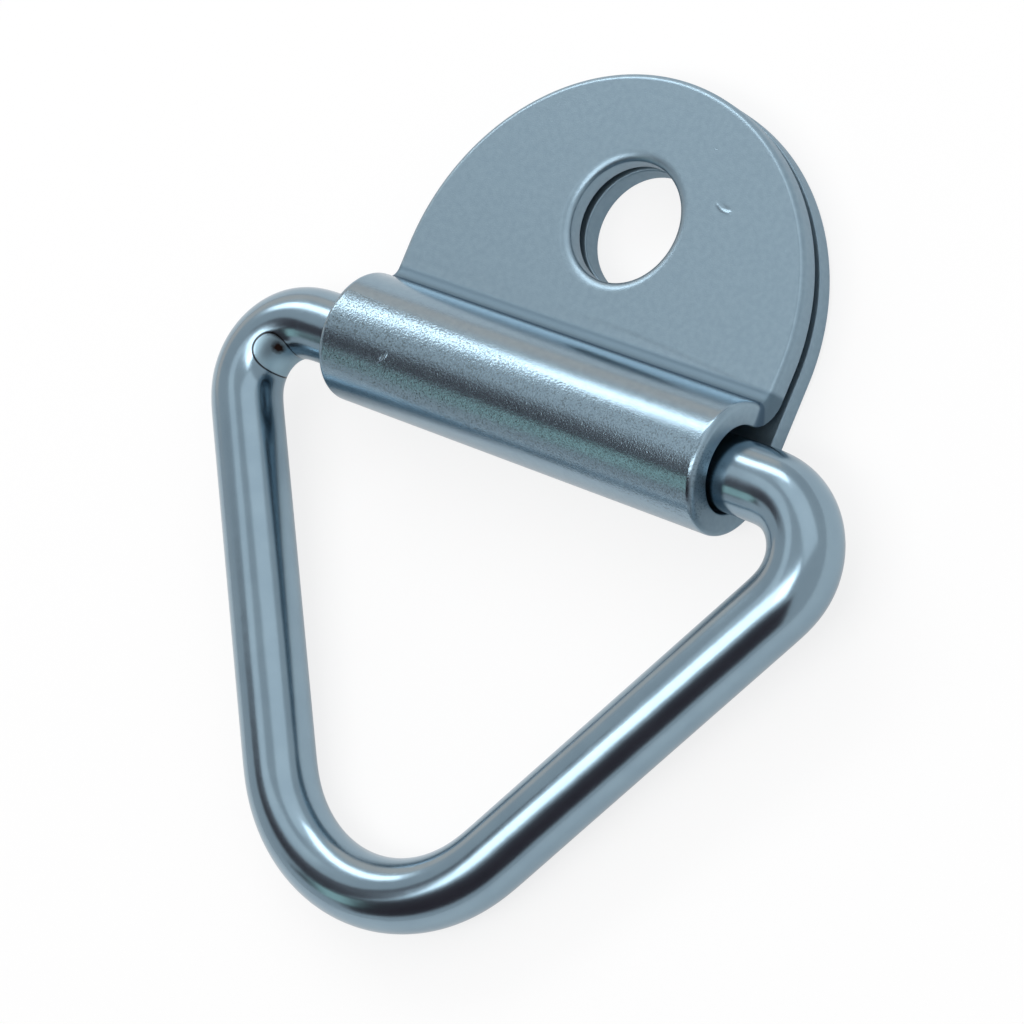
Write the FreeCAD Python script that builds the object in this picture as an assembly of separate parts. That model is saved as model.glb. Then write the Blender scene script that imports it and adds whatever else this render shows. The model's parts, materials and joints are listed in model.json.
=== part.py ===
import FreeCAD, Part
import math
import os

# Lashing ring: a folded steel strap with one bolt hole, and a triangular ring of round bar
# that swings in the fold. All sizes are in millimetres.
# Frame: the rear face of the strap lies at z = 0, the bolt hole is on the Z axis, the fold
# runs along X and the ring hangs towards -Y.

# Driving sizes of the strap
SHEET_THICKNESS = 2.5
STRAP_WIDTH = 51.5
HOLE_DIAMETER = 13.5
HOLE_TO_FOLD = 21.0
ROUND_END_TO_FOLD = 11.5
LAYER_GAP = 1.2
REVERSE_BEND_RADIUS = 1.3
ROLLED_EDGE_RADIUS = 0.7
INNER_EDGE_RADIUS = 0.2

# Driving sizes of the ring
BAR_DIAMETER = 8.0
LEG_ANGLE = math.radians(31.9)
CORNER_BEND_RADIUS = 7.0
FOOT_BEND_RADIUS = 17.5

# Clearances of the ring in the fold and past the plate, and how far it lies to the left
BAR_PLAY = 0.75
SEAT_GAP = 0.3
LEG_CLEARANCE = 1.05
SIDE_SHIFT = 0.6

# Sizes that follow from them
BAR_RADIUS = BAR_DIAMETER / 2
FOLD_INNER_RADIUS = BAR_RADIUS + BAR_PLAY
FOLD_OUTER_RADIUS = FOLD_INNER_RADIUS + SHEET_THICKNESS
HALF_WIDTH = STRAP_WIDTH / 2
FOLD_Y = -HOLE_TO_FOLD
ROUND_END_Y = FOLD_Y + ROUND_END_TO_FOLD
TOP_Y = ROUND_END_Y + HALF_WIDTH
FRONT_Z = 2 * SHEET_THICKNESS + LAYER_GAP

# The ring is pulled away from the plate, with the bar near the far wall of the fold
BAR_Y = FOLD_Y - (BAR_PLAY - SEAT_GAP)
BAR_Z = FOLD_OUTER_RADIUS


def polar(centre, radius, angle):
    """Point in the side view at a polar angle round a centre given as (y, z)."""
    y = centre[0] + radius * math.cos(angle)
    z = centre[1] + radius * math.sin(angle)
    return FreeCAD.Vector(0, y, z)


def side_arc(centre, radius, start, end):
    """Arc in the side view from one polar angle to another."""
    middle = (start + end) / 2
    arc = Part.Arc(polar(centre, radius, start), polar(centre, radius, middle), polar(centre, radius, end))
    return arc.toShape()


def side_line(y1, z1, y2, z2):
    """Straight stretch in the side view."""
    return Part.makeLine(FreeCAD.Vector(0, y1, z1), FreeCAD.Vector(0, y2, z2))


def folded_sheet():
    """The sheet in side view, swept across: rear layer, turn round the bar, S-bend, front layer."""
    fold = (FOLD_Y, FOLD_OUTER_RADIUS)
    rise = FRONT_Z + REVERSE_BEND_RADIUS - fold[1]
    reach = FOLD_OUTER_RADIUS + REVERSE_BEND_RADIUS
    reverse = (FOLD_Y + math.sqrt(reach ** 2 - rise ** 2), fold[1] + rise)
    join = math.asin(rise / reach)
    bottom = 1.5 * math.pi
    reverse_outer = REVERSE_BEND_RADIUS + SHEET_THICKNESS
    end_y = TOP_Y + SHEET_THICKNESS
    edges = [
        side_line(end_y, 0, fold[0], 0),
        side_arc(fold, FOLD_OUTER_RADIUS, bottom, join),
        side_arc(reverse, REVERSE_BEND_RADIUS, math.pi + join, bottom),
        side_line(reverse[0], FRONT_Z, end_y, FRONT_Z),
        side_line(end_y, FRONT_Z, end_y, FRONT_Z - SHEET_THICKNESS),
        side_line(end_y, FRONT_Z - SHEET_THICKNESS, reverse[0], FRONT_Z - SHEET_THICKNESS),
        side_arc(reverse, reverse_outer, bottom, math.pi + join),
        side_arc(fold, FOLD_INNER_RADIUS, join, bottom),
        side_line(fold[0], SHEET_THICKNESS, end_y, SHEET_THICKNESS),
        side_line(end_y, SHEET_THICKNESS, end_y, 0),
    ]
    face = Part.Face(Part.Wire(edges))
    face.translate(FreeCAD.Vector(-STRAP_WIDTH, 0, 0))
    return face.extrude(FreeCAD.Vector(2 * STRAP_WIDTH, 0, 0))


def blank_outline():
    """Block with the plan outline of the strap: straight sides and a round end."""
    low_y = FOLD_Y - STRAP_WIDTH
    low_z = -SHEET_THICKNESS
    corners = [
        FreeCAD.Vector(-HALF_WIDTH, ROUND_END_Y, low_z),
        FreeCAD.Vector(-HALF_WIDTH, low_y, low_z),
        FreeCAD.Vector(HALF_WIDTH, low_y, low_z),
        FreeCAD.Vector(HALF_WIDTH, ROUND_END_Y, low_z),
    ]
    edges = []
    for start, end in zip(corners, corners[1:]):
        edges.append(Part.makeLine(start, end))
    crown = FreeCAD.Vector(0, TOP_Y, low_z)
    edges.append(Part.Arc(corners[-1], crown, corners[0]).toShape())
    height = 2 * FOLD_OUTER_RADIUS + 2 * SHEET_THICKNESS
    return Part.Face(Part.Wire(edges)).extrude(FreeCAD.Vector(0, 0, height))


def rim_edges(shape, height):
    """Edges of the blank's outline that lie at one height, without the seams along the fold."""
    rims = []
    for edge in shape.Edges:
        points = edge.discretize(Number=5)
        level = all(abs(point.z - height) < 1e-6 for point in points)
        seam = all(abs(point.y - points[0].y) < 1e-6 for point in points)
        if level and not seam:
            rims.append(edge)
    return rims


def hole_rim(shape, height):
    """Edges of the bolt hole that lie at one height."""
    rim = []
    for edge in rim_edges(shape, height):
        points = edge.discretize(Number=5)
        if all(math.hypot(point.x, point.y) < HOLE_DIAMETER / 2 + 1e-6 for point in points):
            rim.append(edge)
    return rim


def ring_bar():
    """Round bar bent to a triangle, drawn flat with its top side on the X axis and the foot at -Y."""
    plate_reach = ROUND_END_TO_FOLD + BAR_PLAY - SEAT_GAP
    leg_offset = plate_reach * math.sin(LEG_ANGLE) + HALF_WIDTH + LEG_CLEARANCE + BAR_RADIUS
    corner_x = leg_offset / math.cos(LEG_ANGLE)
    apex_y = -leg_offset / math.sin(LEG_ANGLE)
    left = FreeCAD.Vector(-corner_x, 0, 0)
    right = FreeCAD.Vector(corner_x, 0, 0)
    apex = FreeCAD.Vector(0, apex_y, 0)
    bends = [
        (right, left, apex, CORNER_BEND_RADIUS),
        (left, apex, right, FOOT_BEND_RADIUS),
        (apex, right, left, CORNER_BEND_RADIUS),
    ]
    start = FreeCAD.Vector(0, 0, 0)
    pieces = []
    for before, corner, after, radius in bends:
        incoming = (corner - before).normalize()
        outgoing = (after - corner).normalize()
        turn = incoming.getAngle(outgoing)
        setback = radius * math.tan(turn / 2)
        bend_start = corner - incoming * setback
        centre = bend_start + FreeCAD.Vector(0, 0, 1).cross(incoming) * radius
        pieces.append(bar_section(start, incoming).extrude(bend_start - start))
        bend = bar_section(bend_start, incoming).revolve(centre, FreeCAD.Vector(0, 0, 1), math.degrees(turn))
        pieces.append(bend)
        start = corner + outgoing * setback
    closing = FreeCAD.Vector(0, 0, 0) - start
    pieces.append(bar_section(start, closing).extrude(closing))
    bar = pieces[0].multiFuse(pieces[1:]).removeSplitter()
    foot_reach = -apex_y - FOOT_BEND_RADIUS * (1 / math.sin(LEG_ANGLE) - 1)
    return bar.Solids[0], foot_reach


def bar_section(centre, direction):
    """Round section of the bar, square to its run."""
    circle = Part.makeCircle(BAR_RADIUS, centre, direction)
    return Part.Face(Part.Wire(circle))


# Folded strap plate: the punch rolls the blank's edge over on the side that the fold turns
# outwards, and leaves a sharper edge inside
plate = folded_sheet().common(blank_outline())
plate = plate.makeFillet(ROLLED_EDGE_RADIUS, rim_edges(plate, 0) + rim_edges(plate, FRONT_Z))
rear_layer_z = SHEET_THICKNESS
front_layer_z = FRONT_Z - SHEET_THICKNESS
inner_rims = rim_edges(plate, rear_layer_z) + rim_edges(plate, front_layer_z)
plate = plate.makeFillet(INNER_EDGE_RADIUS, inner_rims)

# The bolt hole is punched from the front through the folded strap, so only its front rim is rolled
hole_height = FRONT_Z + 2 * SHEET_THICKNESS
hole = Part.makeCylinder(HOLE_DIAMETER / 2, hole_height, FreeCAD.Vector(0, 0, -SHEET_THICKNESS))
plate = plate.cut(hole)
plate = plate.makeFillet(ROLLED_EDGE_RADIUS, hole_rim(plate, FRONT_Z))
inner_rims = hole_rim(plate, rear_layer_z) + hole_rim(plate, front_layer_z)
plate = plate.makeFillet(INNER_EDGE_RADIUS, inner_rims).Solids[0]

# Triangle ring: laid with its foot on the surface that the plate is bolted to
ring, foot_reach = ring_bar()
lay_down = math.degrees(math.asin((BAR_Z - BAR_RADIUS) / foot_reach))
ring.rotate(FreeCAD.Vector(0, 0, 0), FreeCAD.Vector(1, 0, 0), lay_down)
ring.translate(FreeCAD.Vector(-SIDE_SHIFT, BAR_Y, BAR_Z))

os.makedirs("parts", exist_ok=True)
plate.exportStep("parts/folded_strap_plate.step")
ring.exportStep("parts/triangle_ring.step")

for name, shape in (("folded_strap_plate", plate), ("triangle_ring", ring)):
    box = shape.optimalBoundingBox()
    print(name, shape.ShapeType, shape.isValid(), round(shape.Volume, 1))
    print([round(v, 3) for v in (box.XMin, box.XMax, box.YMin, box.YMax, box.ZMin, box.ZMax)])
print("tilt of the ring at rest, degrees", round(lay_down, 3))
print("bar axis", BAR_Y, BAR_Z)
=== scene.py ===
import json
import math

import bmesh
import bpy
import numpy as np
from mathutils import Matrix, Vector
from mathutils.geometry import delaunay_2d_cdt


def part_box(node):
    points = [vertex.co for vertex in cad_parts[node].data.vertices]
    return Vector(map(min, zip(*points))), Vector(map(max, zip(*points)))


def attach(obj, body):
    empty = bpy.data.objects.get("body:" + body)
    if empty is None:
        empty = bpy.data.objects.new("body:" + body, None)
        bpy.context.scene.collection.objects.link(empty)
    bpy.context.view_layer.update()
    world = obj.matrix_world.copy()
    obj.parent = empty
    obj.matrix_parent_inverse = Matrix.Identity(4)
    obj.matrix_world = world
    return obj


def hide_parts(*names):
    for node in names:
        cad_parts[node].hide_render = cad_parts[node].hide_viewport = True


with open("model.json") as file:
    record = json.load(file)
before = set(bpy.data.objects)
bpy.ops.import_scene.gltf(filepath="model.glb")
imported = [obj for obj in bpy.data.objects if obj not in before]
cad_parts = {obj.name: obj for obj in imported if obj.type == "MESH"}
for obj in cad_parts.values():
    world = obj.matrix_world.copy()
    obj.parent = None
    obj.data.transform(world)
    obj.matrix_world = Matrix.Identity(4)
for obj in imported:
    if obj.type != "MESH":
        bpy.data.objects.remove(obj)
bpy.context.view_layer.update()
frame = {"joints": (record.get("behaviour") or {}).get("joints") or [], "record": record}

# Camera: a long lens that looks down on the fitting from the right, turned so that the ring
# hangs towards the lower left of the picture
camera_azimuth = math.radians(86.4)
camera_elevation = math.radians(54.4)
camera_roll = math.radians(-64.6)
camera_distance = 0.446
camera_lens = 147.7
sensor_width = 36.0
nearest_seen = 0.01
farthest_seen = 20.0
aim_point = Vector((-0.0004, -0.0330, 0.0040))

back = Vector((
    math.sin(camera_azimuth) * math.cos(camera_elevation),
    -math.cos(camera_azimuth) * math.cos(camera_elevation),
    math.sin(camera_elevation),
))
camera_data = bpy.data.cameras.new("camera")
camera_data.lens = camera_lens
camera_data.sensor_width = sensor_width
camera_data.clip_start = nearest_seen
camera_data.clip_end = farthest_seen
camera = bpy.data.objects.new("camera", camera_data)
camera.location = aim_point + back * camera_distance
level_view = (-back).to_track_quat("-Z", "Y").to_matrix().to_4x4()
camera.rotation_euler = (level_view @ Matrix.Rotation(camera_roll, 4, "Z")).to_euler()
bpy.context.scene.collection.objects.link(camera)
bpy.context.scene.camera = camera


# Floor and studio light: a plain white table top, a few large soft lamps, and black cloth panels
# on the side of the ring's foot. The table shows white to the camera, and more weakly in the
# plating, and still takes the fitting's shadow.
table_colour = (0.9, 0.9, 0.9, 1.0)
white_share = 0.8
mirrored_white_share = 0.3
floor_half = 3.0
floor_z = -0.0001
room_colour = (0.97, 0.98, 1.0, 1.0)
room_strength = 0.7
lamp_distance = 0.9
watts_for_white = 4
white_light = (1.0, 0.99, 0.98)
orange_light = (1.0, 0.5, 0.2)
green_light = (0.72, 1.0, 0.9)
panel_distance = 1.05
cloth_colour = (0.08, 0.055, 0.065, 1.0)


def add(tree, kind, inputs=None, **settings):
    """A node of a tree with its settings, and with its inputs linked or set by name or number."""
    node = tree.nodes.new(kind)
    for setting, value in settings.items():
        setattr(node, setting, value)
    for label, value in (inputs or {}).items():
        if isinstance(value, bpy.types.NodeSocket):
            tree.links.new(value, node.inputs[label])
        else:
            node.inputs[label].default_value = value
    return node


def calc(tree, operation, *values):
    """Socket with the result of a math node."""
    return add(tree, "ShaderNodeMath", dict(enumerate(values)), operation=operation).outputs[0]


def material_tree(name):
    """A new material and its empty node tree."""
    material = bpy.data.materials.new(name)
    material.use_nodes = True
    material.node_tree.nodes.clear()
    return material, material.node_tree


def rectangle(name, half_wide, half_high, material):
    """Mesh of one flat rectangle round the origin that faces along Z."""
    corners = [
        (-half_wide, -half_high, 0),
        (half_wide, -half_high, 0),
        (half_wide, half_high, 0),
        (-half_wide, half_high, 0),
    ]
    mesh = bpy.data.meshes.new(name)
    mesh.from_pydata(corners, [], [(0, 1, 2, 3)])
    mesh.materials.append(material)
    return mesh


floor_material, tree = material_tree("white_table")
light_path = add(tree, "ShaderNodeLightPath").outputs
mirrored = calc(tree, "MAXIMUM", light_path["Is Glossy Ray"], light_path["Is Transmission Ray"])
camera_share = calc(tree, "MULTIPLY", light_path["Is Camera Ray"], white_share)
mirror_share = calc(tree, "MULTIPLY", mirrored, mirrored_white_share)
glow_share = calc(tree, "MAXIMUM", camera_share, mirror_share)
paint = add(tree, "ShaderNodeBsdfDiffuse", {"Color": table_colour}).outputs[0]
glow = add(tree, "ShaderNodeEmission", {"Strength": 1.0}).outputs[0]
table_top = add(tree, "ShaderNodeMixShader", {"Fac": glow_share, 1: paint, 2: glow}).outputs[0]
add(tree, "ShaderNodeOutputMaterial", {"Surface": table_top})

floor_mesh = rectangle("floor", floor_half, floor_half, floor_material)
floor_mesh.transform(Matrix.Translation((0, 0, floor_z)))
floor = bpy.data.objects.new("floor", floor_mesh)
bpy.context.scene.collection.objects.link(floor)

world = bpy.data.worlds.new("studio_room")
bpy.context.scene.world = world
world.use_nodes = True
room = world.node_tree.nodes["Background"]
room.inputs["Color"].default_value = room_colour
room.inputs["Strength"].default_value = room_strength

black_cloth, tree = material_tree("black_cloth")
cloth = add(tree, "ShaderNodeBsdfDiffuse", {"Color": cloth_colour}).outputs[0]
add(tree, "ShaderNodeOutputMaterial", {"Surface": cloth})


def standing(azimuth, elevation, turn, distance):
    """Matrix that puts a thing in a compass direction from the fitting, in degrees, facing it."""
    bearing = math.radians(azimuth)
    lift = math.radians(elevation)
    flat = math.cos(lift)
    aim = Vector((math.sin(bearing) * flat, math.cos(bearing) * flat, math.sin(lift)))
    facing = aim.to_track_quat("Z", "Y").to_matrix().to_4x4()
    rolled = facing @ Matrix.Rotation(math.radians(turn), 4, "Z")
    return Matrix.Translation(aim_point + aim * distance) @ rolled


def soft_box(name, azimuth, elevation, spread, rise, radiance, turn=0, colour=white_light):
    """A soft lamp. Spread and rise are its half sizes in degrees as the fitting sees it, and a
    radiance of 1 looks white."""
    data = bpy.data.lights.new(name, "AREA")
    data.shape = "RECTANGLE"
    data.size = 2 * lamp_distance * math.tan(math.radians(spread))
    data.size_y = 2 * lamp_distance * math.tan(math.radians(rise))
    data.energy = radiance * watts_for_white * data.size * data.size_y
    data.color = colour
    lamp = bpy.data.objects.new(name, data)
    lamp.matrix_world = standing(azimuth, elevation, turn, lamp_distance)
    lamp.visible_camera = False
    bpy.context.scene.collection.objects.link(lamp)


def dark_panel(name, azimuth, elevation, spread, rise):
    """A black cloth panel, with its half sizes in degrees as the fitting sees it."""
    half_wide = panel_distance * math.tan(math.radians(spread))
    half_high = panel_distance * math.tan(math.radians(rise))
    mesh = rectangle(name, half_wide, half_high, black_cloth)
    mesh.transform(standing(azimuth, elevation, 0, panel_distance))
    panel = bpy.data.objects.new(name, mesh)
    panel.visible_camera = False
    bpy.context.scene.collection.objects.link(panel)


soft_box("back_lamp", azimuth=-42, elevation=37, spread=26, rise=6.5, radiance=3.0)
soft_box("top_lamp", azimuth=178, elevation=72, spread=24, rise=9, radiance=2.4, turn=10)
soft_box("side_lamp", azimuth=117, elevation=70, spread=13, rise=5, radiance=1.8, turn=-18)
soft_box("right_fill", azimuth=25, elevation=50, spread=32, rise=20, radiance=0.4)
soft_box("left_fill", azimuth=-95, elevation=67, spread=18, rise=9, radiance=0.35)
soft_box("warm_wall", azimuth=-60, elevation=13, spread=40, rise=9, radiance=0.3, colour=orange_light)
soft_box("front_patch", azimuth=219, elevation=29, spread=5, rise=9, radiance=0.75, turn=28,
         colour=green_light)
dark_panel("left_panel", azimuth=240, elevation=46, spread=11, rise=12)
dark_panel("low_panel", azimuth=221, elevation=30, spread=9, rise=11)
dark_panel("front_panel", azimuth=172, elevation=35, spread=38, rise=22)


# Triangle ring: one length of round mild steel bar, bent at three corners until its two ends
# meet in the fold, and bright zinc plated. It is made on its own and laid in the strap, which is
# then folded round it.
leg_angle = math.radians(31.9)
corner_bend = 0.007
foot_bend = 0.0175
points_in_bend = 60
points_along = 760
points_round = 100
bend_easing = 26

zinc_deep = (0.24, 0.335, 0.405, 1.0)
zinc_pale = (0.26, 0.36, 0.43, 1.0)
bar_roughness = 0.19
die_line_stretch = 50

# The pin that the corners are bent round leaves an oval mark, with a thin dark line about it and
# a stain in it at the left corner, and fainter at the right one
mark_angle = math.radians(51)
mark_half_angle = math.radians(36)
mark_side = math.radians(95)
mark_half_side = math.radians(75)
mark_roundness = 2.3
left_mark_depth = 0.000025
right_mark_depth = 0.000015
mark_slope = 0.0003
mark_colour = (0.31, 0.45, 0.53, 1.0)
mark_roughness = 0.42
line_core = 0.00004
line_edge = 0.00012
line_colour = (0.03, 0.035, 0.04, 1.0)
stain_angle = math.radians(38)
stain_side = math.radians(52)
stain_core = 0.0006
stain_edge = 0.0012
stain_colour = (0.035, 0.018, 0.014, 1.0)

ring_low, ring_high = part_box("triangle_ring")
swing = next(joint for joint in frame["joints"] if joint["name"] == "ring_swing")
bar_axis = Vector(swing["pos_m"])
bar_radius = ring_high.z - bar_axis.z
corner_setback = corner_bend * math.tan((math.pi / 2 + leg_angle) / 2)
bend_x = (ring_high.x - ring_low.x) / 2 - bar_radius - corner_bend
corner_x = bend_x + corner_setback
apex_reach = corner_x / math.tan(leg_angle)
foot_reach = apex_reach - foot_bend * (1 / math.sin(leg_angle) - 1)
lay_down = math.asin((bar_axis.z - bar_radius) / foot_reach)
ring_place = Matrix.Translation(((ring_low.x + ring_high.x) / 2, bar_axis.y, bar_axis.z))
ring_place @= Matrix.Rotation(lay_down, 4, "X")


def node_tree(name, inputs):
    """A geometry tree with named inputs, each (name, socket type, value), and its group ends."""
    tree = bpy.data.node_groups.new(name, "GeometryNodeTree")
    sockets = {}
    for label, kind, value in inputs:
        socket = tree.interface.new_socket(label, in_out="INPUT", socket_type=kind)
        sockets[label] = (socket.identifier, value)
    tree.interface.new_socket("Geometry", in_out="OUTPUT", socket_type="NodeSocketGeometry")
    return tree, tree.nodes.new("NodeGroupInput"), tree.nodes.new("NodeGroupOutput"), sockets


def finished_mesh(name, source, tree, sockets):
    """The plain mesh that the tree makes of the source, as a new object at the origin."""
    modifier = source.modifiers.new(tree.name, "NODES")
    modifier.node_group = tree
    for identifier, value in sockets.values():
        if value is not None:
            modifier[identifier] = value
    graph = bpy.context.evaluated_depsgraph_get()
    mesh = bpy.data.meshes.new_from_object(source.evaluated_get(graph))
    source.modifiers.remove(modifier)
    bpy.data.objects.remove(source)
    mesh.name = name
    piece = bpy.data.objects.new(name, mesh)
    bpy.context.scene.collection.objects.link(piece)
    return piece


def ramp(tree, value, start, end, low=0.0, high=1.0, blend="LINEAR"):
    """Socket that goes from low to high as the value goes from start to end."""
    inputs = {0: value, 1: start, 2: end, 3: low, 4: high}
    return add(tree, "ShaderNodeMapRange", inputs, interpolation_type=blend).outputs[0]


def mixed(tree, share, first, second):
    """Colour that goes from the first to the second as the share goes from 0 to 1."""
    inputs = {"Factor": share, "A": first, "B": second}
    return add(tree, "ShaderNodeMix", inputs, data_type="RGBA").outputs["Result"]


def total(tree, first, *others):
    """Socket with the sum of two or more sockets."""
    for other in others:
        first = calc(tree, "ADD", first, other)
    return first


def tint(tree, low, high, size):
    """Colour that drifts between two shades in soft patches of about one size in metres."""
    place = add(tree, "ShaderNodeTexCoord").outputs["Object"]
    patches = add(tree, "ShaderNodeTexNoise", {"Vector": place, "Scale": 1 / size, "Detail": 4.0})
    share = ramp(tree, patches.outputs[0], start=0.35, end=0.65)
    return mixed(tree, share, low, high)


def grain(tree, size, height, detail=2.0, place=None):
    """Random surface height in metres, with grains of about one size in metres."""
    if place is None:
        place = add(tree, "ShaderNodeTexCoord").outputs["Object"]
    noise = add(tree, "ShaderNodeTexNoise", {"Vector": place, "Scale": 1 / size, "Detail": detail})
    return calc(tree, "MULTIPLY", noise.outputs[0], height)


def plated(tree, colour, roughness, height):
    """Output of a zinc-plated metal with the given colour, roughness and surface height."""
    bump = add(tree, "ShaderNodeBump", {"Height": height, "Distance": 1.0, "Strength": 1.0}).outputs[0]
    metal = add(tree, "ShaderNodeBsdfPrincipled", {
        "Base Color": colour,
        "Metallic": 1.0,
        "Roughness": roughness,
        "Normal": bump,
    }).outputs[0]
    add(tree, "ShaderNodeOutputMaterial", {"Surface": metal})


def on_corner_bend(bend_angle, section_angle):
    """Point of the left corner bend's surface, in the ring's place at rest."""
    run = corner_bend - bar_radius * math.sin(section_angle)
    flat_x = -bend_x - run * math.sin(bend_angle)
    flat_y = run * math.cos(bend_angle) - corner_bend
    return ring_place @ Vector((flat_x, flat_y, bar_radius * math.cos(section_angle)))


bar_plating, tree = material_tree("bright_zinc_on_bar")
across = add(tree, "ShaderNodeAttribute", attribute_name="across_bar").outputs["Vector"]
along = add(tree, "ShaderNodeAttribute", attribute_name="along_bar").outputs["Fac"]
shortened = calc(tree, "MULTIPLY", along, 1 / die_line_stretch)
lengthwise = add(tree, "ShaderNodeCombineXYZ", {"Z": shortened}).outputs[0]
drawn = add(tree, "ShaderNodeVectorMath", {0: across, 1: lengthwise}).outputs[0]
die_lines = grain(tree, size=0.0003, height=0.000003, place=drawn)
waviness = grain(tree, size=0.006, height=0.00004)
specks = grain(tree, size=0.0005, height=0.000002)
height = total(tree, die_lines, waviness, specks)

mark_edge = add(tree, "ShaderNodeAttribute", attribute_name="tool_mark").outputs["Fac"]
inside_mark = ramp(tree, mark_edge, 0.0, -mark_slope)
from_line = calc(tree, "ABSOLUTE", mark_edge)
off_line = ramp(tree, from_line, line_core, line_edge, blend="SMOOTHSTEP")
from_stain = add(tree, "ShaderNodeVectorMath", {
    0: add(tree, "ShaderNodeTexCoord").outputs["Object"],
    1: on_corner_bend(stain_angle, stain_side),
}, operation="DISTANCE").outputs["Value"]
ragged = total(tree, from_stain, grain(tree, size=0.0004, height=0.0004))
clear_of_stain = ramp(tree, ragged, stain_core, stain_edge)
colour = tint(tree, zinc_deep, zinc_pale, size=0.004)
colour = mixed(tree, inside_mark, colour, mark_colour)
colour = mixed(tree, off_line, line_colour, colour)
colour = mixed(tree, clear_of_stain, stain_colour, colour)
roughness = ramp(tree, inside_mark, 0.0, 1.0, bar_roughness, mark_roughness)
plated(tree, colour, roughness, height)

tree, group_in, group_out, sockets = node_tree("bent_bar_ring", [
    ("Corner x", "NodeSocketFloat", corner_x),
    ("Apex reach", "NodeSocketFloat", apex_reach),
    ("Corner bend", "NodeSocketFloat", corner_bend),
    ("Foot bend", "NodeSocketFloat", foot_bend),
    ("Bar radius", "NodeSocketFloat", bar_radius),
    ("Points in a bend", "NodeSocketInt", points_in_bend),
    ("Points along", "NodeSocketInt", points_along),
    ("Bend easing", "NodeSocketInt", bend_easing),
    ("Points round", "NodeSocketInt", points_round),
])
size = group_in.outputs
index = add(tree, "GeometryNodeInputIndex").outputs[0]
left_x = calc(tree, "SUBTRACT", 0.0, size["Corner x"])
apex_y = calc(tree, "SUBTRACT", 0.0, size["Apex reach"])
left_corner = add(tree, "ShaderNodeCombineXYZ", {"X": left_x}).outputs[0]
apex = add(tree, "ShaderNodeCombineXYZ", {"Y": apex_y}).outputs[0]
right_corner = add(tree, "ShaderNodeCombineXYZ", {"X": size["Corner x"]}).outputs[0]


def by_corner(tree, index, kind, values):
    """One of three values, for the left corner, the apex and the right corner of the triangle."""
    choice = add(tree, "GeometryNodeIndexSwitch", data_type=kind)
    choice.index_switch_items.new()
    tree.links.new(index, choice.inputs["Index"])
    for number, value in enumerate(values):
        tree.links.new(value, choice.inputs[number + 1])
    return choice.outputs[0]


corner_point = by_corner(tree, index, "VECTOR", (left_corner, apex, right_corner))
bends = (size["Corner bend"], size["Foot bend"], size["Corner bend"])
bend_radius = by_corner(tree, index, "FLOAT", bends)
triangle = add(tree, "GeometryNodeCurvePrimitiveCircle", {"Resolution": 3})
placed = add(tree, "GeometryNodeSetPosition", {
    "Geometry": triangle.outputs["Curve"],
    "Position": corner_point,
})
bent = add(tree, "GeometryNodeFilletCurve", {
    "Curve": placed.outputs[0],
    "Count": size["Points in a bend"],
    "Radius": bend_radius,
}, mode="POLY")
even = add(tree, "GeometryNodeResampleCurve", {
    "Curve": bent.outputs[0],
    "Count": size["Points along"],
})
eased_place = add(tree, "GeometryNodeBlurAttribute", {
    "Value": add(tree, "GeometryNodeInputPosition").outputs[0],
    "Iterations": size["Bend easing"],
}, data_type="FLOAT_VECTOR").outputs[0]
eased = add(tree, "GeometryNodeSetPosition", {
    "Geometry": even.outputs[0],
    "Position": eased_place,
})
upright = add(tree, "GeometryNodeSetCurveNormal", {"Curve": eased.outputs[0]}, mode="Z_UP")
along = add(tree, "GeometryNodeSplineParameter").outputs["Length"]
path = add(tree, "GeometryNodeStoreNamedAttribute", {
    "Geometry": upright.outputs[0],
    "Name": "along_bar",
    "Value": along,
}, data_type="FLOAT", domain="POINT")
circle = add(tree, "GeometryNodeCurvePrimitiveCircle", {
    "Resolution": size["Points round"],
    "Radius": size["Bar radius"],
})
section = add(tree, "GeometryNodeStoreNamedAttribute", {
    "Geometry": circle.outputs["Curve"],
    "Name": "across_bar",
    "Value": add(tree, "GeometryNodeInputPosition").outputs[0],
}, data_type="FLOAT_VECTOR", domain="POINT")
bar = add(tree, "GeometryNodeCurveToMesh", {
    "Curve": path.outputs[0],
    "Profile Curve": section.outputs[0],
})
smooth = add(tree, "GeometryNodeSetShadeSmooth", {"Geometry": bar.outputs[0]})
real = add(tree, "GeometryNodeRealizeInstances", {"Geometry": smooth.outputs[0]})
coated = add(tree, "GeometryNodeSetMaterial", {"Geometry": real.outputs[0], "Material": bar_plating})
tree.links.new(coated.outputs[0], group_out.inputs[0])

stock = bpy.data.objects.new("bar_stock", bpy.data.meshes.new("bar_stock"))
bpy.context.scene.collection.objects.link(stock)
ring = finished_mesh("triangle_ring_bar", stock, tree, sockets)

# Both marks are pressed into the flat ring, and the material learns the edge of the left one
far_off = 0.001
farthest_in_bend = 1.6 * corner_bend
points = np.empty(3 * len(ring.data.vertices))
normals = np.empty_like(points)
ring.data.vertices.foreach_get("co", points)
ring.data.vertices.foreach_get("normal", normals)
points = points.reshape(-1, 3)
normals = normals.reshape(-1, 3)
run_x = np.abs(points[:, 0]) - bend_x
run_y = points[:, 1] + corner_bend
run = np.hypot(run_x, run_y)
bend_angle = np.arctan2(run_x, run_y)
section_angle = np.arctan2(corner_bend - run, points[:, 2])
off_angle = np.abs(bend_angle - mark_angle) / mark_half_angle
off_side = np.abs((section_angle - mark_side + math.pi) % (2 * math.pi) - math.pi) / mark_half_side
spread = (off_angle ** mark_roundness + off_side ** mark_roundness) ** (1 / mark_roundness)
from_edge = np.clip((spread - 1) * mark_half_angle * run, -far_off, far_off)
from_edge[(run_x < 0) | (run > farthest_in_bend)] = far_off
at_left = points[:, 0] < 0
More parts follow.
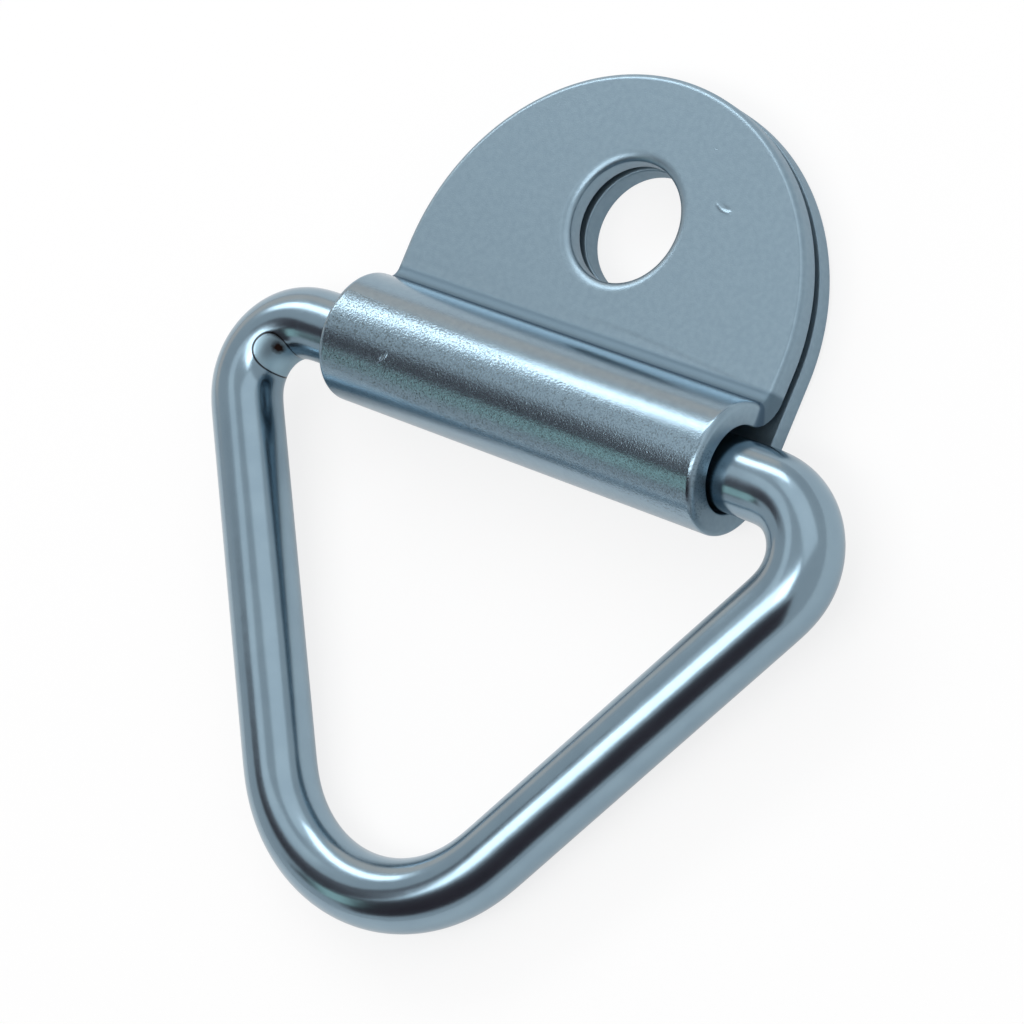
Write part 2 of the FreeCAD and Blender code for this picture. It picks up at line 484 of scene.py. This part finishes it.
full_depth = np.where(at_left, left_mark_depth, right_mark_depth)
depth = full_depth * np.clip(0.5 - from_edge / mark_slope, 0, 1)
ring.data.vertices.foreach_set("co", (points - normals * depth[:, None]).ravel())
marks = ring.data.attributes.new("tool_mark", "FLOAT", "POINT")
marks.data.foreach_set("value", np.where(at_left, from_edge, far_off))

ring.data.transform(ring_place)
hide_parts("triangle_ring")
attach(ring, "ring")


# Strap plate: one blank of 2.5 mm steel strip with two round ends, folded round the bar of the
# ring until its ends lie on each other, pierced for the bolt and zinc plated. Places on the flat
# blank are x across it and s along it, and s starts at the rear layer's end.
sheet = 0.0025
layer_gap = 0.0012
reverse_bend = 0.0013
rolled_edge = 0.0007
punched_roll = 0.0012
inner_edge = 0.0002
rim_margin = 0.00008
hole_radius = frame["record"]["mounts"][0]["dims"]["r_mm"] / 1000

coarse_step = 0.0008
fold_step = 0.0004
fine_step = 0.00015
points_in_arc = 90
points_in_run = 120
points_in_half_turn = 180
points_round_hole = 128
points_in_roll = 9
points_in_inner_edge = 4
nick_field = 1.3
points_across_nick = 27
merge_distance = 1e-7

plate_low, plate_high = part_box("folded_strap_plate")
half_width = (plate_high.x - plate_low.x) / 2
fold_outer = plate_high.z / 2
fold_y = plate_low.y + fold_outer
crown_y = plate_high.y
front_z = 2 * sheet + layer_gap


def side_arc(centre, radius, start, end):
    """Points of an arc in the side view, as (y, z), without its last point."""
    angles = np.linspace(start, end, points_in_arc, endpoint=False)
    y = centre[0] + radius * np.cos(angles)
    z = centre[1] + radius * np.sin(angles)
    return np.column_stack([y, z])


def side_run(start, end):
    """Points of a straight stretch in the side view, as (y, z), without its last point."""
    return np.linspace(start, end, points_in_run, endpoint=False)


middle = fold_outer - sheet / 2
reverse_middle = reverse_bend + sheet / 2
rise = front_z + reverse_bend - fold_outer
reach = fold_outer + reverse_bend
turn_back = math.asin(rise / reach)
reverse_y = fold_y + math.sqrt(reach ** 2 - rise ** 2)
reverse_centre = (reverse_y, fold_outer + rise)
side_path = np.vstack([
    side_run((crown_y, sheet / 2), (fold_y, sheet / 2)),
    side_arc((fold_y, fold_outer), middle, 1.5 * math.pi, turn_back),
    side_arc(reverse_centre, reverse_middle, math.pi + turn_back, 1.5 * math.pi),
    side_run((reverse_y, front_z - sheet / 2), (crown_y, front_z - sheet / 2)),
    [(crown_y, front_z - sheet / 2)],
])
blank_length = float(np.linalg.norm(np.diff(side_path, axis=0), axis=1).sum())
fold_start = crown_y - fold_y
turn_end = fold_start + middle * (1.5 * math.pi - turn_back)
front_start = turn_end + reverse_middle * (math.pi / 2 - turn_back)
hole_places = (crown_y, blank_length - crown_y)
front_hole_s = hole_places[1]

# The press leaves a shallow band and a fine ridge along the tight bend, which turn away from it
# towards the left and die out there
crease_reach = 0.0016
crease_run = 0.02
crease_curve = 0.7
crease_fade_x = -0.004
crease_fade_run = 0.01
least_crease = 0.1
band_depth = 0.00004
band_rise = 0.0004
band_rise_start = 0.2
band_approach = 0.001
ridge_height = 0.000025
ridge_width = 0.00015

# Small nicks from handling, each a dent with a lip on one side: (x, s), length and turn. The
# other sizes are shares of a nick's length.
nicks = (
    ((0.0115, front_hole_s + 0.0045), 0.0015, math.radians(-12)),
    ((0.0076, front_hole_s + 0.0102), 0.0003, 0),
    ((0.0183, front_hole_s + 0.0006), 0.0002, math.radians(60)),
    ((0.0206, front_hole_s + 0.0022), 0.0002, math.radians(20)),
    ((-0.0166, fold_start + middle * math.radians(163)), 0.0010, math.radians(50)),
)
nick_half_length = 0.5
nick_half_width = 0.18
nick_depth = 0.05
lip_height = 0.06
lip_reach = 1.2
lip_width = 0.4
lip_blend = 0.2

crease_field_end = front_start + 1.3 * crease_reach
rows = [0.0]
while rows[-1] < blank_length:
    if turn_end < rows[-1] < crease_field_end:
        rows.append(rows[-1] + fine_step)
    elif fold_start < rows[-1] < turn_end:
        rows.append(rows[-1] + fold_step)
    else:
        rows.append(rows[-1] + coarse_step)
side_rows = [s for s in rows if half_width < s < blank_length - half_width]


def rim_section(outer_width, outer_depth, inner_radius):
    """Section of a punched edge as (inset from the cut wall, height from the sheet's middle)."""
    section = [(outer_width + rim_margin, sheet / 2)]
    for angle in np.linspace(0, math.pi / 2, points_in_roll):
        section.append((
            outer_width * (1 - math.sin(angle)),
            sheet / 2 - outer_depth * (1 - math.cos(angle)),
        ))
    for angle in np.linspace(math.pi / 2, 0, points_in_inner_edge):
        section.append((
            inner_radius * (1 - math.sin(angle)),
            -sheet / 2 + inner_radius * (1 - math.cos(angle)),
        ))
    section.append((inner_radius + rim_margin, -sheet / 2))
    return section


def outline(inset):
    """Contour of the blank: two straight sides and two half circles, anticlockwise."""
    radius = half_width - inset
    half_turn = np.linspace(0, math.pi, points_in_half_turn)
    points = [(radius, s) for s in side_rows]
    for angle in half_turn:
        points.append((radius * math.cos(angle), blank_length - half_width + radius * math.sin(angle)))
    points.extend((-radius, s) for s in reversed(side_rows))
    for angle in half_turn:
        points.append((-radius * math.cos(angle), half_width - radius * math.sin(angle)))
    return points


def hole_outline(centre_s):
    """Function that gives the contour of the bolt hole in one layer, clockwise."""
    def contour(inset):
        angles = np.linspace(0, -2 * math.pi, points_round_hole, endpoint=False)
        radius = hole_radius + inset
        return [(radius * math.cos(a), centre_s + radius * math.sin(a)) for a in angles]
    return contour


def flat_points():
    """Points in rows over the blank, clear of its outline and holes, and close round the nicks."""
    points = []
    columns = int(2 * half_width / coarse_step)
    for number, s in enumerate(rows):
        stagger = 0.5 * (number % 2)
        for column in range(columns):
            points.append((-half_width + (column + stagger) * coarse_step, s))
    for (nick_x, nick_s), nick_length, _ in nicks:
        near = np.linspace(-nick_field, nick_field, points_across_nick) * nick_length
        points = [(x, s) for x, s in points if max(abs(x - nick_x), abs(s - nick_s)) > near[-1]]
        points.extend((nick_x + x, nick_s + s) for x in near for s in near)
    clear = []
    for x, s in points:
        end_s = min(max(s, half_width), blank_length - half_width)
        from_edge = half_width - math.hypot(x, s - end_s)
        from_hole = min(math.hypot(x, s - place) for place in hole_places) - hole_radius
        if min(from_edge - rolled_edge, from_hole - punched_roll) > coarse_step / 2:
            clear.append((x, s))
    return clear


def crease_height(x, s):
    """Height of the band and the ridge along the tight bend over the plain outer face."""
    share = min(max((half_width - x) / crease_run, 0), 1)
    from_crease = s - front_start - crease_reach * share ** crease_curve
    seen_share = min(max((x - crease_fade_x) / crease_fade_run, least_crease), 1)
    if s < front_start:
        band = min(max(1 - (front_start - s) / band_approach, 0), 1)
    else:
        band = min(max(band_rise_start - from_crease / band_rise, 0), 1)
    ridge = math.exp(-(from_crease / ridge_width) ** 2)
    return seen_share * (ridge_height * ridge - band_depth * band)


def nick_height(x, s):
    """Height of the nicks over the plain outer face."""
    height = 0
    for (nick_x, nick_s), nick_length, turn in nicks:
        along = ((x - nick_x) * math.cos(turn) + (s - nick_s) * math.sin(turn)) / nick_length
        aside = ((s - nick_s) * math.cos(turn) - (x - nick_x) * math.sin(turn)) / nick_length
        reach = math.hypot(along / nick_half_length, aside / nick_half_width)
        on_lip_side = min(max(0.5 - aside / lip_blend, 0), 1)
        lip = lip_height * on_lip_side * math.exp(-((reach - lip_reach) / lip_width) ** 2)
        dent = nick_depth * math.exp(-reach ** 2)
        height += (lip - dent) * nick_length
    return height


contours = [
    (outline, rim_section(rolled_edge, rolled_edge, inner_edge)),
    (hole_outline(hole_places[0]), rim_section(inner_edge / 2, inner_edge / 2, inner_edge)),
    (hole_outline(hole_places[1]), rim_section(punched_roll, rolled_edge, inner_edge)),
]
blank_mesh = bmesh.new()
rims = []
for contour, section in contours:
    rings = []
    for inset, height in section:
        rings.append([blank_mesh.verts.new((x, s, height)) for x, s in contour(inset)])
    for upper, lower in zip(rings, rings[1:]):
        count = len(upper)
        for i in range(count):
            j = (i + 1) % count
            blank_mesh.faces.new((upper[i], lower[i], lower[j], upper[j]))
    rims.append((rings[0], rings[-1]))

inside_only = 1
inner_pattern = flat_points()
for side, height in ((0, sheet / 2), (1, -sheet / 2)):
    verts = []
    edges = []
    for rim in rims:
        first = len(verts)
        count = len(rim[side])
        verts.extend(rim[side])
        edges.extend((first + i, first + (i + 1) % count) for i in range(count))
    for x, s in inner_pattern:
        raised = crease_height(x, s) + nick_height(x, s) if side == 0 else 0
        verts.append(blank_mesh.verts.new((x, s, height + raised)))
    flat = [Vector((vert.co.x, vert.co.y)) for vert in verts]
    hole_rims = [set(rim[side]) for rim in rims[1:]]
    _, _, triangles, origins, _, _ = delaunay_2d_cdt(flat, edges, [], inside_only, merge_distance)
    for triangle_ids in triangles:
        corners = [verts[origins[i][0]] for i in triangle_ids]
        fills_hole = any(rim.issuperset(corners) for rim in hole_rims)
        if not fills_hole:
            blank_mesh.faces.new(corners if side == 0 else corners[::-1])

blank_data = bpy.data.meshes.new("strap_blank")
blank_mesh.to_mesh(blank_data)
blank_mesh.free()
blank = bpy.data.objects.new("strap_blank", blank_data)
bpy.context.scene.collection.objects.link(blank)

path_data = bpy.data.curves.new("fold_path", "CURVE")
path_data.dimensions = "3D"
spline = path_data.splines.new("POLY")
spline.points.add(len(side_path) - 1)
for point, (y, z) in zip(spline.points, side_path):
    point.co = (0, y, z, 1)
fold_path = bpy.data.objects.new("fold_path", path_data)
bpy.context.scene.collection.objects.link(fold_path)

# The turned sheet is shinier than the flat one, and its crown is rubbed to an orange peel, most at the
# left, with dark pits whose colour also paints shade into the peel. The press leaves the tight bend
# dull; its darker colour and the dark line in its groove are painted shade where the fold shades the
# sheet.
flat_roughness = 0.3
turned_roughness = 0.2
turned_blend = 0.002
rubbed_start = fold_start + middle * math.radians(128)
rubbed_end = fold_start + middle * math.radians(198)
rubbed_blend = 0.0008
rubbed_slant = 0.05
full_peel_x = -0.015
least_peel_x = 0.02
least_peel = 0.55
# Dark pits, partly real and partly painted shade standing for the orange peel's shaded facets
pit_and_speck_shade_colour = (0.11, 0.15, 0.17, 1.0)
pit_roughness = 0.1
# Painted shade: a dark line in the groove where the fold shades the sheet
groove_start = turn_end + 0.0004
groove_end = turn_end + 0.0012
groove_blend = 0.0005
groove_shade_colour = (0.09, 0.15, 0.21, 1.0)
# The tight bend is duller from the press, and its darker colour is painted shade from the fold
pressed_start = turn_end + 0.0008
pressed_blend = 0.0006
pressed_bend_shade_colour = (0.17, 0.25, 0.31, 1.0)
pressed_roughness = 0.3

# Below the outer face, on the cut edges and the inner face, the plating is duller, but less so
# round the hole of the front layer
rim_starts_below = 0.00002
rim_is_full_below = 0.00012
hole_rim_reach = 0.012
outline_reach = 0.018
hole_rim_roughness = 0.07
outline_roughness = 0.24

sheet_plating, tree = material_tree("satin_zinc_on_sheet")
blank_place = add(tree, "ShaderNodeAttribute", attribute_name="flat_blank").outputs["Vector"]
blank_xyz = add(tree, "ShaderNodeSeparateXYZ", {0: blank_place}).outputs
blank_s = blank_xyz["Y"]


def stretch_of_sheet(tree, place, start, end, blend):
    """Share that is 1 where a place lies between two lengths and falls to 0 over the blend."""
    rising = ramp(tree, place, start - blend, start, blend="SMOOTHSTEP")
    falling = ramp(tree, place, end, end + blend, 1.0, 0.0, blend="SMOOTHSTEP")
    return calc(tree, "MULTIPLY", rising, falling)


turned = stretch_of_sheet(tree, blank_s, fold_start, turn_end, turned_blend)
slanted = total(tree, blank_s, calc(tree, "MULTIPLY", blank_xyz["X"], rubbed_slant))
rubbed = stretch_of_sheet(tree, slanted, rubbed_start, rubbed_end, rubbed_blend)
# Where the painted groove shade lies
groove_shade = stretch_of_sheet(tree, blank_s, groove_start, groove_end, groove_blend)
pressed_and_shaded = stretch_of_sheet(tree, blank_s, pressed_start, front_start, pressed_blend)

peel_share = ramp(tree, blank_xyz["X"], full_peel_x, least_peel_x, 1.0, least_peel)
worn = calc(tree, "MULTIPLY", rubbed, peel_share)
peel_grain = grain(tree, size=0.00025, height=0.000021, detail=1.0)
orange_peel = calc(tree, "MULTIPLY", peel_grain, worn)
satin = grain(tree, size=0.00014, height=0.000011, detail=1.0)
waviness = grain(tree, size=0.007, height=0.000008)
height = total(tree, orange_peel, satin, waviness)

# Specks that are partly pits and partly painted shade in the peel
pits_and_shaded_specks = calc(tree, "MULTIPLY", grain(tree, size=0.0002, height=1.0, detail=1.0), rubbed)
deep_pits_and_shaded_specks = ramp(tree, pits_and_shaded_specks, start=0.5, end=0.7)
pit_and_speck_shade_share = calc(tree, "MULTIPLY", deep_pits_and_shaded_specks, peel_share)

rim_top = sheet / 2 - rim_starts_below
on_rim = ramp(tree, blank_xyz["Z"], sheet / 2 - rim_is_full_below, rim_top, 1.0, 0.0)
from_hole = add(tree, "ShaderNodeVectorMath", {
    0: blank_place,
    1: (0.0, front_hole_s, sheet / 2),
}, operation="DISTANCE").outputs["Value"]
rim_roughness = ramp(tree, from_hole, hole_rim_reach, outline_reach, hole_rim_roughness,
                     outline_roughness)
roughness = total(
    tree,
    ramp(tree, turned, 0.0, 1.0, flat_roughness, turned_roughness),
    calc(tree, "MULTIPLY", pressed_and_shaded, pressed_roughness),
    calc(tree, "MULTIPLY", on_rim, rim_roughness),
    calc(tree, "MULTIPLY", pit_and_speck_shade_share, pit_roughness),
)
colour = tint(tree, zinc_deep, zinc_pale, size=0.0007)
# Partly painted shade: the dark pit specks
colour = mixed(tree, pit_and_speck_shade_share, colour, pit_and_speck_shade_colour)
# Painted shade: the tight bend is darkened as if the fold shaded it
colour = mixed(tree, pressed_and_shaded, colour, pressed_bend_shade_colour)
# Painted shade: the dark line in the groove
colour = mixed(tree, groove_shade, colour, groove_shade_colour)
plated(tree, colour, roughness, height)

tree, group_in, group_out, sockets = node_tree("fold_strap_round_bar", [
    ("Geometry", "NodeSocketGeometry", None),
    ("Fold path", "NodeSocketObject", fold_path),
])
given = group_in.outputs
flat_place = add(tree, "GeometryNodeInputPosition").outputs[0]
remembered = add(tree, "GeometryNodeStoreNamedAttribute", {
    "Geometry": given["Geometry"],
    "Name": "flat_blank",
    "Value": flat_place,
}, data_type="FLOAT_VECTOR", domain="POINT")
flat_xyz = add(tree, "ShaderNodeSeparateXYZ", {0: flat_place}).outputs
path_info = add(tree, "GeometryNodeObjectInfo", {"Object": given["Fold path"]})
on_path = add(tree, "GeometryNodeSampleCurve", {
    "Curves": path_info.outputs["Geometry"],
    "Length": flat_xyz["Y"],
}, mode="LENGTH", use_all_curves=True)
across = add(tree, "ShaderNodeCombineXYZ", {"X": flat_xyz["X"]}).outputs[0]
outward = add(tree, "ShaderNodeVectorMath", {
    0: (1.0, 0.0, 0.0),
    1: on_path.outputs["Tangent"],
}, operation="CROSS_PRODUCT").outputs[0]
lifted = add(tree, "ShaderNodeVectorMath", {
    0: outward,
    "Scale": flat_xyz["Z"],
}, operation="SCALE").outputs[0]
off_path = add(tree, "ShaderNodeVectorMath", {0: on_path.outputs["Position"], 1: lifted}).outputs[0]
place = add(tree, "ShaderNodeVectorMath", {0: off_path, 1: across}).outputs[0]
folded = add(tree, "GeometryNodeSetPosition", {
    "Geometry": remembered.outputs[0],
    "Position": place,
})
smooth = add(tree, "GeometryNodeSetShadeSmooth", {"Geometry": folded.outputs[0]})
real = add(tree, "GeometryNodeRealizeInstances", {"Geometry": smooth.outputs[0]})
coated = add(tree, "GeometryNodeSetMaterial", {"Geometry": real.outputs[0], "Material": sheet_plating})
tree.links.new(coated.outputs[0], group_out.inputs[0])
plate = finished_mesh("folded_strap", blank, tree, sockets)
bpy.data.objects.remove(fold_path)
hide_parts("folded_strap_plate")
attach(plate, "plate")

bpy.context.scene.view_settings.view_transform = "Standard"
